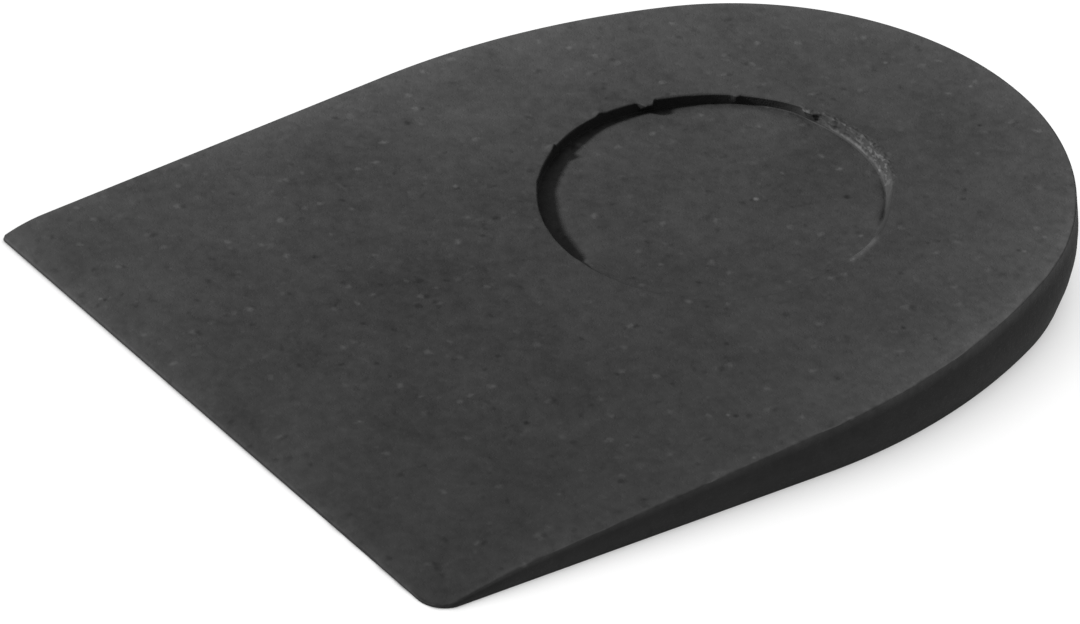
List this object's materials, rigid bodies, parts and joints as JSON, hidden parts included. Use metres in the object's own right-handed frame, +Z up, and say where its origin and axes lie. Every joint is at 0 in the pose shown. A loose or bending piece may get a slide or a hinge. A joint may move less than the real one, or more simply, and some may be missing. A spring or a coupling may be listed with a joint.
{
  "type": "heel wedge",
  "caption": "Black foam heel wedge with a thin straight front edge, a thick rounded heel, a flat sloping top and a shallow round recess under the heel; lies inside a shoe.",
  "frame": {"origin": "on the base, under the middle of the outline's box", "axes": "+Z up out of the base, +Y from the thin front edge towards the thick rounded heel, +X to the right seen along +Y"},
  "size_m": [0.061, 0.081, 0.0082],
  "materials": {
    "foam": "matte black closed-cell foam, fine mottled grain"
  },
  "bodies": {
    "root": {"wedge": "foam"}
  },
  "joints": []
}
